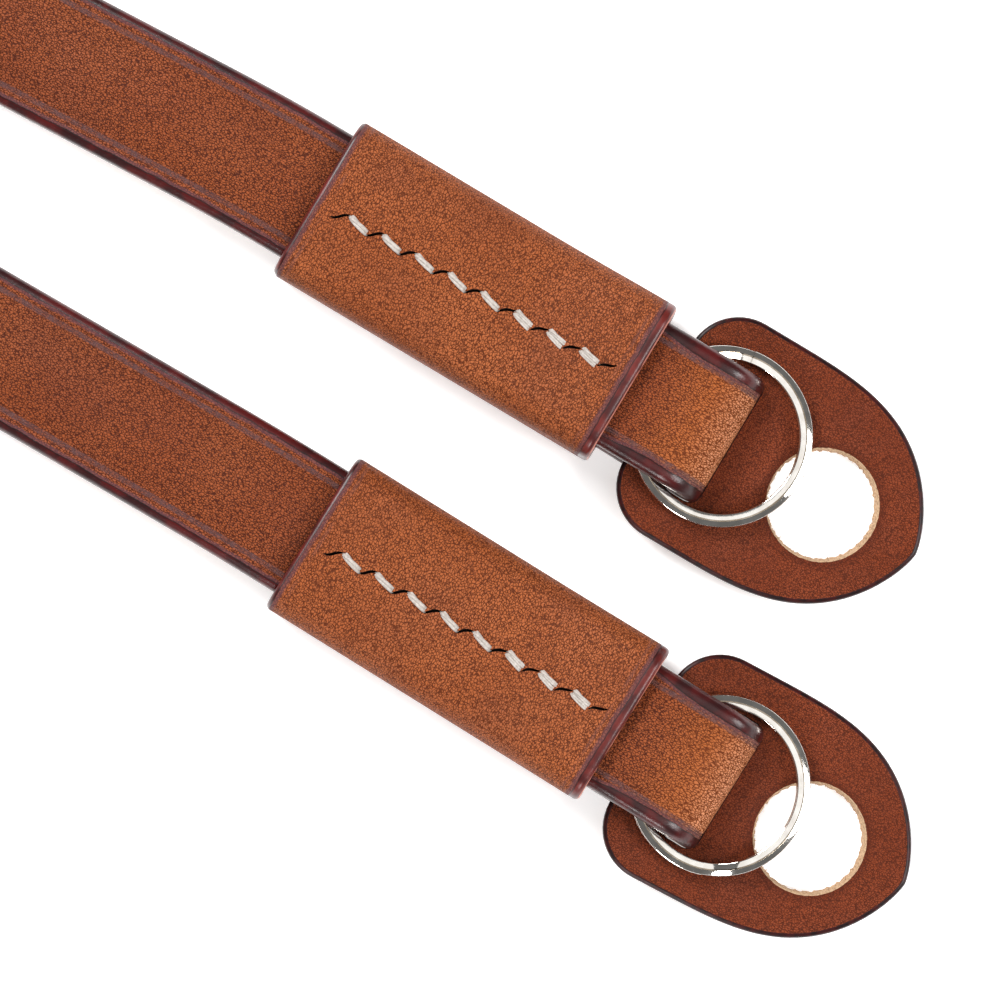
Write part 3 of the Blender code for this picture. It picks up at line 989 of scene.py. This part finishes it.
# %% Grow the fibres
def grow_fibres(name, count, rng):
    view, centre = views[name], hole_centres[name]
    fibres = []
    for _ in range(count):
        angle = rng.uniform(0, 2 * math.pi)
        length = rng.uniform(0.16, 0.42) * mm
        depth = rng.uniform(0.1, 0.95)
        radius = hole_radius - hole_lean(angle) * mm * depth
        x, y = on_circle(angle, radius, centre.x, centre.y)
        z = pad_height(view, x) + pad_thickness * (1 - depth)
        bpy.ops.mesh.primitive_cone_add(vertices=4, radius1=0.028 * mm, radius2=0.008 * mm, depth=length)
        fibre = name_it("fibre")
        lean = (Matrix.Translation((x, y, z)) @ Matrix.Rotation(angle + rng.uniform(-0.9, 0.9), 4, "Z")
                @ Matrix.Rotation(math.radians(-90 + rng.uniform(-35, 35)), 4, "Y"))
        fibre.matrix_world = lean @ Matrix.Translation((0, 0, length * 0.35))
        settle(fibre)
        fibres.append(fibre)
    tuft = join(fibres, "hole_fibres_" + name)
    give_slots(tuft, raw_cut)
    return tuft


fibres = {name: grow_fibres(name, 90, random.Random(5)) for name in ends}
print("fibres:", {name: triangles(piece) for name, piece in fibres.items()})

# %% [markdown]
# The split rings
#
# A split ring is two turns of flattened wire, pressed together, with a step where the wire changes
# from one turn to the other. The wire is another straight blank: a small section with a round outer
# shoulder and a crisper inner one, extruded and laid along a two-turn route.

# %% Route of the wire
ring_jog = math.radians(14)
ring_end_gap = math.radians(2.5)
ring_middle = ring_inner + wire_width / 2


def wire_route(split, step=math.radians(1.5)):
    first = ring_jog + ring_end_gap
    last = 4 * math.pi - first
    rows = []
    for angle in np.linspace(first, last, int((last - first) / step)):
        climb = ease((angle - 2 * math.pi + ring_jog) / (2 * ring_jog))
        level = (wire_thickness + coil_gap) / 2 * (2 * climb - 1)
        rows.append((*on_circle(angle + math.radians(split), ring_middle), level))
    return np.array(rows)


print("wire length %.1f mm" % (length_of(wire_route(0.0)) / mm))

# %% Draw, extrude and lay the wire
groove_place = -0.02 * mm
groove_half = 0.06 * mm
nickel = new_material("nickel")


def wind_ring(name):
    view, end = views[name], ends[name]
    ring = new_section("split_ring_" + name, wire_thickness, wire_width)
    cut_at((groove_place - groove_half, groove_place, groove_place + groove_half), axis=1)
    for low, high, flatten in ((-1.0 * mm, -0.49 * wire_width, 0.42),
                               (groove_place - exact, groove_place + exact, 0.50)):
        choose(ring, "verts", lambda v: low < v.co.y < high)
        bpy.ops.transform.resize(value=(1, 1, flatten), center_override=(0, 0, 0))
    for side, radius in ((-1, 0.10 * mm), (1, 0.08 * mm)):
        choose(ring, "verts", lambda v: v.co.y * side > wire_width * 0.49)
        bpy.ops.mesh.bevel(offset=radius, segments=4, affect="VERTICES")
    wire = wire_route(end.ring_split)
    distance = distances(wire)
    extrude_along(distance[::2] if len(distance) % 2 else np.append(distance[::2], distance[-1]))
    face_outwards()
    close_up()
    give_slots(ring, nickel)
    lay_along(ring, wire, np.zeros(len(wire)))
    ring.matrix_world = (Matrix.Translation((ring_centre_x, end.ring_aside, view.ring_z))
                         @ Matrix.Rotation(math.atan(view.slope), 4, "Y"))
    settle(ring)
    smooth_off(ring, 50)
    print(ring.name, "triangles:", triangles(ring))
    return ring


rings = {name: wind_ring(name) for name in ends}

# %% Put both ends together
for name in ends:
    for piece in (sleeves[name], stitches[name], pads[name], fibres[name], rings[name]):
        put_in_place(piece, name)
    for node, piece in (("sleeve_", sleeves[name]), ("pad_", pads[name]), ("ring_", rings[name])):
        own = np.array([vert.co for vert in piece.data.vertices])
        off = np.array((own.min(axis=0), own.max(axis=0))) - np.array(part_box(node + name))
        print(node + name, "box differs from its solid by (mm)", (off / mm).round(2).tolist())

# %% [markdown]
# Leather
#
# Grain is a web of fine valleys between small pebbles, about a fifth of a millimetre across, and the
# dye is darker in the valleys. Cells of a Voronoi texture, warped a little by noise, give both the
# colour and the bump. Slower noise makes the hide uneven, and a few larger marks are handling. Sleeves
# and pads read Object coordinates, because their meshes lie where they belong. The strap's pebbles read
# its own UV map, so that they follow the leather round the folds and the bend.

# %% Small tools for node trees
class Nodes:
    """Adds nodes and links to a material with few words."""

    def __init__(self, material):
        self.tree = material.node_tree
        self.shader = self.tree.nodes["Principled BSDF"]
        self.coordinates = self.add("TexCoord").outputs["Object"]

    def add(self, kind, **settings):
        node = self.tree.nodes.new("ShaderNode" + kind)
        for key, value in settings.items():
            setattr(node, key, value)
        return node

    def put(self, socket, value):
        """Link an output to a socket, or set the socket to a value."""
        if hasattr(value, "is_output"):
            self.tree.links.new(value, socket)
        else:
            socket.default_value = value

    def feed(self, node, *by_place, **by_name):
        """Fill inputs by their place in the list, or by name with _ for a space."""
        for place, value in enumerate(by_place):
            self.put(node.inputs[place], value)
        for key, value in by_name.items():
            self.put(node.inputs[key.replace("_", " ")], value)
        return node

    def measures(self, uv_map):
        """A UV map, and its two measures on their own."""
        both = self.add("UVMap", uv_map=uv_map).outputs[0]
        return (both, *self.feed(self.add("SeparateXYZ"), both).outputs[:2])

    def noise(self, scale, detail, roughness=0.5, vector=None):
        return self.feed(self.add("TexNoise"), Vector=vector or self.coordinates, Scale=scale,
                         Detail=detail, Roughness=roughness).outputs["Fac"]

    def ramp(self, value, low, high, to_low=0.0, to_high=1.0):
        """A smooth step between two values."""
        node = self.add("MapRange", interpolation_type="SMOOTHSTEP")
        return self.feed(node, Value=value, From_Min=low, From_Max=high,
                         To_Min=to_low, To_Max=to_high).outputs["Result"]

    def fade(self, value, near, far, top=1.0):
        return self.ramp(value, near, far, top, 0.0)

    def cloud(self, scale, detail, low, high, to_low=0.0, to_high=1.0, vector=None):
        """Noise with its contrast raised."""
        return self.ramp(self.noise(scale, detail, vector=vector), low, high, to_low, to_high)

    def math(self, operation, *values, clamp=False):
        return self.feed(self.add("Math", operation=operation, use_clamp=clamp), *values).outputs[0]

    def times(self, first, second):
        return self.math("MULTIPLY", first, second)

    def less(self, first, second):
        return self.math("SUBTRACT", first, second)

    def apart(self, first, second):
        return self.math("ABSOLUTE", self.less(first, second))

    def line(self, value, factor, plus):
        """value * factor + plus"""
        return self.math("MULTIPLY_ADD", value, factor, plus)

    def mix(self, share, first, second):
        node = self.feed(self.add("Mix", data_type="RGBA"), share)
        for place, colour in ((6, first), (7, second)):
            self.put(node.inputs[place], colour)
        return node.outputs[2]

    def bump(self, height, distance):
        node = self.feed(self.add("Bump"), Strength=1.0, Distance=distance, Height=height)
        return node.outputs["Normal"]


def paint(*screen):
    """A colour picked on a screen, turned into the linear value that nodes use."""
    shares = [value / 255 for value in screen]
    return (*(v / 12.92 if v <= 0.04045 else ((v + 0.055) / 1.055) ** 2.4 for v in shares), 1.0)


# %% Grain
pit_depth = 0.24
# Greyer patches: partly wax bloom, partly a painted sheen of reflected sky.
bloom_and_sheen = paint(110, 60, 46)
grain_shine = 0.16


def leather_grain(nodes, cell, drawn, light, middle, dark, patch, vector=None):
    """Colour and height of grain. A pebble is drawn[0] cells long along x and drawn[1] along y."""
    places = nodes.feed(nodes.add("VectorMath", operation="MULTIPLY"), vector or nodes.coordinates,
                        (1 / (cell * drawn[0]), 1 / (cell * drawn[1]), 1 / cell)).outputs[0]
    sway = nodes.feed(nodes.add("TexNoise"), Vector=places, Scale=0.7, Detail=1.0).outputs["Color"]
    swayed = nodes.feed(nodes.add("VectorMath", operation="MULTIPLY_ADD"), sway, (1.1, 1.1, 1.1), places)
    cells = nodes.feed(nodes.add("TexVoronoi", feature="DISTANCE_TO_EDGE"),
                       Vector=swayed.outputs[0], Scale=1.0)
    valley = nodes.fade(cells.outputs["Distance"], 0.02, 0.23)
    deep = nodes.cloud(0.8, 1.0, 0.30, 0.60, 0.60, 1.0, vector=places)
    pits = nodes.cloud(1.6, 1.0, 0.52, 0.74, vector=places)
    height = nodes.less(1.0, nodes.times(valley, deep))
    height = nodes.math("SUBTRACT", height, nodes.times(pits, pit_depth), clamp=True)
    base = nodes.mix(nodes.cloud(1 / patch, 3.0, 0.30, 0.70), middle, light)
    marks = nodes.cloud(1 / (patch * 0.22), 2.0, 0.40, 0.75)
    base = nodes.mix(nodes.times(marks, 0.30), base, middle)
    # Random greyer patches: partly wax bloom, partly a painted sheen of reflected sky.
    base = nodes.mix(nodes.cloud(1 / (patch * 0.6), 1.0, 0.45, 0.80, 0.0, 0.25), base, bloom_and_sheen)
    return nodes.mix(nodes.fade(height, 0.10, 0.90), base, dark), height


print("wax bloom:", bloom_and_sheen)

# %% [markdown]
# The strap's own marks
#
# Along the strip's UV map the distance from the middle is known everywhere, also round the folds. The
# edges beyond the rounding are dyed oxblood and burnished until they have a clear coat. A thin
# purple-grey highlight and a near-black line of dark reflection are painted where the dye meets the
# grain. The creases are dark and slightly polished. The folds are paler, partly stretched and partly
# painted light, with a peach highlight painted on the pebbles near each fold. The sleeves' cut ends
# are dyed in the same way, with a pink highlight painted along the arris of the mouth.

# %% Dyed edges, with a painted highlight and a painted dark reflection line
edge_dye = paint(40, 6, 7)
edge_glow = paint(72, 11, 10)
# Painted highlight and painted dark reflection for the border where the dye meets the grain.
edge_highlight_colour = paint(86, 54, 60)
painted_dark_reflection = paint(16, 4, 5)
highlight_strength = 0.72
relief_depth = 0.042 * mm
coat_share = 0.55


def dyed_edge(nodes, distance, colour, start, full, highlight_width=0.24 * mm, dyes=(edge_dye, edge_glow)):
    """Colour towards the dyed edge, and a mask of the dye, from the distance inside the edge. A highlight
    band and a dark reflection line are painted at the border of the dye.
    """
    inside = nodes.math("ADD", distance, nodes.line(nodes.noise(620, 3.0), 0.30 * mm, -0.15 * mm))
    dye = nodes.ramp(inside, full, start, 1.0, 0.0)
    # A purple-grey highlight is painted in a band just inside where the dye starts.
    highlight_start = start + 0.10 * mm
    highlight_band = nodes.times(nodes.fade(inside, highlight_start, highlight_start + highlight_width), highlight_strength)
    # A near-black line of dark reflection is painted where the dye is full.
    line = nodes.fade(nodes.apart(inside, full), 0.0, 0.09 * mm, 0.85)
    red = nodes.mix(nodes.cloud(520, 3.0, 0.38, 0.66), *dyes)
    colour = nodes.mix(highlight_band, colour, edge_highlight_colour)
    return nodes.mix(line, nodes.mix(dye, colour, red), painted_dark_reflection), dye


def dyed_surface(nodes, colour, rough, relief, dye, polish):
    """Leather that is smoother where it is dyed, with a clear coat on the dye."""
    nodes.feed(nodes.shader, Base_Color=colour, Normal=nodes.bump(relief, relief_depth),
               Roughness=nodes.times(rough, nodes.line(dye, -polish, 1.0)),
               Coat_Weight=nodes.times(dye, coat_share), Coat_Roughness=0.34,
               Specular_IOR_Level=grain_shine)


def strap_leather():
    nodes = Nodes(strap_grain)
    strip, along, across = nodes.measures("strip")
    colour, height = leather_grain(nodes, cell=0.185 * mm, drawn=(1.50, 1.0), light=paint(145, 75, 40),
                                   middle=paint(134, 65, 32), dark=paint(66, 22, 4), patch=14 * mm,
                                   vector=strip)
    to_fold = nodes.math("MINIMUM", *(nodes.apart(along, fold) for fold in fold_along))
    # Near each fold the leather is paler: partly stretched, partly painted light where the fold turns to
    # the lamps.
    pale = nodes.mix(nodes.ramp(height, 0.15, 0.80), paint(104, 46, 12), paint(172, 96, 48))
    colour = nodes.mix(nodes.fade(to_fold, 2.0 * mm, 10.0 * mm, 0.90), colour, pale)
    # A peach highlight is painted on the tops of the pebbles close to each fold.
    painted_highlight = nodes.times(nodes.fade(to_fold, 0.8 * mm, 4.5 * mm, 0.80), nodes.ramp(height, 0.45, 1.0))
    colour = nodes.mix(painted_highlight, colour, paint(224, 156, 116))
    inside = nodes.less(half_width, nodes.math("ABSOLUTE", across))
    off_line = nodes.apart(nodes.apart(inside, crease_inset), crease_apart / 2)
    crease = nodes.times(nodes.ramp(off_line, 0.03 * mm, 0.20 * mm, 1.0, 0.25),
                         nodes.fade(off_line, 0.10 * mm, 0.24 * mm))
    crease = nodes.times(crease, nodes.cloud(1900, 3.0, 0.38, 0.60, 0.55, 1.0))
    colour = nodes.mix(nodes.times(crease, 0.80), colour, paint(92, 66, 66))
    reach = nodes.fade(to_fold, 7.0 * mm, 12.0 * mm, 0.48 * mm)
    colour, dye = dyed_edge(nodes, nodes.less(inside, reach), colour, start=0.80 * mm, full=0.70 * mm)
    rough = nodes.less(nodes.line(height, -0.10, 0.60), nodes.times(crease, 0.12))
    relief = nodes.times(height, nodes.line(dye, -0.85, 1.0))
    relief = nodes.line(nodes.times(nodes.noise(900, 2.0), dye), 1.6, relief)
    dyed_surface(nodes, colour, rough, relief, dye, polish=0.56)


def sleeve_leather():
    nodes = Nodes(sleeve_grain)
    along = nodes.measures("wrap")[1]
    colour, height = leather_grain(nodes, cell=0.205 * mm, drawn=(1.0, 1.35), light=paint(162, 89, 49),
                                   middle=paint(151, 79, 40), dark=paint(84, 35, 8), patch=9 * mm)
    to_mouth = nodes.less(sleeve_length, along)
    inside = nodes.math("MINIMUM", nodes.math("ADD", along, 0.26 * mm), nodes.less(to_mouth, 0.30 * mm))
    crease = nodes.times(nodes.fade(nodes.apart(inside, 1.45 * mm), 0.03 * mm, 0.26 * mm),
                         nodes.cloud(300, 2.0, 0.35, 0.7, 0.1, 0.9))
    colour = nodes.mix(nodes.times(crease, 0.55), colour, paint(100, 62, 56))
    colour, dye = dyed_edge(nodes, inside, colour, start=0.70 * mm, full=0.58 * mm,
                            highlight_width=0.36 * mm, dyes=(paint(62, 13, 12), paint(98, 28, 22)))
    # A pink highlight is painted along the arris of the mouth.
    painted_highlight = nodes.times(nodes.fade(nodes.apart(to_mouth, 0.08 * mm), 0.03 * mm, 0.075 * mm, 0.9),
                       nodes.cloud(420, 2.0, 0.34, 0.56))
    colour = nodes.mix(painted_highlight, colour, paint(214, 140, 122))
    relief = nodes.times(height, nodes.line(dye, -0.90, 1.0))
    relief = nodes.less(relief, nodes.times(crease, 0.9))
    dyed_surface(nodes, colour, nodes.line(height, -0.08, 0.60), relief, dye, polish=0.42)


strap_leather()
sleeve_leather()
print("folds lie at (mm):", np.array(fold_along) / mm)

# %% Pad leather, with painted shade round the hole
def pad_leather():
    nodes = Nodes(pad_grain)
    colour, height = leather_grain(nodes, cell=0.175 * mm, drawn=(1.3, 1.0), light=paint(128, 57, 28),
                                   middle=paint(118, 50, 22), dark=paint(72, 25, 4), patch=7 * mm)
    plan = nodes.add("UVMap", uv_map="plan").outputs[0]
    from_hole = nodes.feed(nodes.add("VectorMath", operation="LENGTH"), plan).outputs["Value"]
    # Painted shade: a darker ring round the hole stands for the shade where its rim dips.
    colour = nodes.mix(nodes.fade(from_hole, 4.85 * mm, 5.9 * mm, 0.55), colour, paint(72, 24, 6))
    nodes.feed(nodes.shader, Base_Color=colour, Roughness=nodes.line(height, -0.06, 0.58),
               Normal=nodes.bump(height, 0.034 * mm), Specular_IOR_Level=grain_shine)


pad_leather()
print("pad leather painted")

# %% [markdown]
# Rims, raw leather, thread and metal
#
# Pad rims are dyed dark, the insides of the slits are painted nearly black as shade, and the flesh side
# and the wall of the hole are pale and fibrous. The thread is off-white linen with wax in its twist, so
# the hollows between strands are a little greyer. The rings are nickel plate over steel: warm white
# metal, nearly a mirror, with faint rolling marks. A noise or two is enough for each of them.

# %% The plain finishes
def burnished(material, low, high, roughness):
    nodes = Nodes(material)
    nodes.feed(nodes.shader, Base_Color=nodes.mix(nodes.cloud(1500, 3.0, 0.35, 0.68), low, high),
               Normal=nodes.bump(nodes.noise(2200, 2.0), 0.012 * mm), Roughness=roughness,
               Specular_IOR_Level=0.25)


def fibrous(material, grain, depth, contrast, low, high, **more):
    """One fine noise gives both the relief and the colour between two shades."""
    nodes = Nodes(material)
    nap = nodes.noise(*grain)
    nodes.feed(nodes.shader, Base_Color=nodes.mix(nodes.ramp(nap, *contrast), low, high),
               Normal=nodes.bump(nap, depth), **more)


def suede():
    """The flesh side: short nap, paler and dull."""
    nodes = Nodes(flesh_side)
    nap = nodes.noise(2600, 5.0, 0.7)
    colour = nodes.mix(nodes.cloud(140, 3.0, 0.3, 0.7), paint(150, 104, 70), paint(171, 124, 86))
    colour = nodes.mix(nodes.fade(nap, 0.35, 0.65, 0.55), colour, paint(96, 60, 38))
    nodes.feed(nodes.shader, Base_Color=colour, Normal=nodes.bump(nap, 0.06 * mm), Roughness=0.9,
               Sheen_Weight=0.25)


def plated():
    nodes = Nodes(nickel)
    cloud = nodes.cloud(700, 3.0, 0.3, 0.7)
    nodes.feed(nodes.shader, Base_Color=nodes.mix(cloud, paint(214, 208, 200), paint(232, 228, 222)),
               Roughness=nodes.line(cloud, 0.05, 0.06), Metallic=1.0,
               Normal=nodes.bump(nodes.noise(1600, 2.0), 0.004 * mm))


burnished(dyed_rim, paint(22, 5, 6), paint(54, 10, 9), 0.34)
# The insides of the slits are painted near-black: painted shade.
burnished(slit_painted_shade, paint(10, 6, 4), paint(20, 11, 7), 0.9)
fibrous(raw_cut, (5200, 4.0, 0.7), 0.07 * mm, (0.32, 0.58), paint(128, 92, 62), paint(196, 164, 130),
        Roughness=0.92)
fibrous(waxed_thread, (3800, 3.0, 0.6), 0.03 * mm, (0.3, 0.7), paint(160, 151, 143), paint(190, 182, 175),
        Roughness=0.62, Sheen_Weight=0.15)
suede()
plated()
print("materials:", [material.name for material in bpy.data.materials])

# %% [markdown]
# Riding on the bodies
#
# Each piece moves with a body of the part and stands for a solid. The rings are bodies of their own,
# because they turn, and everything else is the strap.

# %% Bodies, solids and slots
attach(strap, "strap_body")
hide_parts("strap")
for name in ends:
    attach(sleeves[name], "strap_body")
    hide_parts("sleeve_" + name)
    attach(stitches[name], "strap_body")
    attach(pads[name], "strap_body")
    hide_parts("pad_" + name)
    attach(fibres[name], "strap_body")
    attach(rings[name], "ring_" + name)
    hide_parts("ring_" + name)

# %% [markdown]
# Floor, light and camera
#
# The photograph was taken from almost straight above on a white light table, with broad lamps on
# several sides. A white floor with a little light of its own, a large soft lamp, weaker ones at the
# right, below and overhead, and a dim even sky give the same: leather stays deep in colour because
# little of the sky shines on it. The lens is long, so that parallel edges stay parallel.

# %% The camera, from two places known in the picture
picture_size = 1000
picture_scale = 11.85 / mm
picture_turn = math.radians(29.25)
picture_tilt = math.radians(2.0)
camera_distance = 0.70
aim_height = 5 * mm
fold_a_pixel = Vector((731.3, 444.0))
sensor_width = 36

right = Vector((math.cos(picture_turn), math.sin(picture_turn), 0))
up = Vector((-math.sin(picture_turn), math.cos(picture_turn), 0))
from_centre = (Vector((picture_size / 2, picture_size / 2)) - fold_a_pixel) / picture_scale
aim = end_matrix("a").translation + right * from_centre.x - up * from_centre.y
aim.z = aim_height
towards = (Vector((0, 0, math.cos(picture_tilt))) - up * math.sin(picture_tilt)).normalized()
side = up.cross(towards).normalized()
top = towards.cross(side)
camera_data = bpy.data.cameras.new("camera")
camera_data.sensor_width = sensor_width
camera_data.lens = sensor_width * camera_distance * picture_scale / picture_size
camera_data.clip_start = 0.01
camera = bpy.data.objects.new("camera", camera_data)
bpy.context.collection.objects.link(camera)
camera.matrix_world = (Matrix.Translation(aim + towards * camera_distance)
                       @ Matrix((side, top, towards)).transposed().to_4x4())
bpy.context.scene.camera = camera
print("camera aims at (mm)", aim / mm, "with a lens of %.0f mm" % camera_data.lens)

# %% The floor and the lights
bpy.ops.mesh.primitive_plane_add(size=6, location=(0, 0, -0.02 * mm))
floor = name_it("floor")
settle(floor)
paper = new_material("white paper")
nodes = Nodes(paper)
nodes.feed(nodes.shader, Base_Color=(0.93, 0.93, 0.93, 1), Roughness=0.95, Specular_IOR_Level=0.1,
           Emission_Color=(1, 1, 1, 1), Emission_Strength=0.44)
give_slots(floor, paper)


def soft_lamp(name, direction, distance, size, power):
    lamp = bpy.data.lights.new(name, "AREA")
    lamp.shape = "DISK"
    lamp.size = size
    lamp.energy = power
    holder = bpy.data.objects.new(name, lamp)
    bpy.context.collection.objects.link(holder)
    direction = direction.normalized()
    holder.matrix_world = (Matrix.Translation(Vector((aim.x, aim.y, 0)) + direction * distance)
                           @ direction.to_track_quat("Z", "Y").to_matrix().to_4x4())


overhead = Vector((0, 0, 1))
soft_lamp("key", up * 0.80 - right * 0.60 + overhead * 1.0, 1.1, 0.55, 14.2)
soft_lamp("side light", right * 0.90 - up * 0.30 + overhead * 0.80, 1.2, 0.50, 9.4)
soft_lamp("low light", -up * 0.9 - right * 0.3 + overhead * 0.6, 1.2, 0.35, 7.0)
soft_lamp("top light", overhead + Vector((0.25, 0, 0)), 1.5, 1.10, 3.3)
sky = bpy.data.worlds.new("sky")
sky.use_nodes = True
sky.node_tree.nodes["Background"].inputs["Color"].default_value = (1, 1, 1, 1)
sky.node_tree.nodes["Background"].inputs["Strength"].default_value = 0.18
bpy.context.scene.world = sky
bpy.context.scene.view_settings.view_transform = "Standard"
print("lamps:", [lamp.name for lamp in bpy.data.lights])
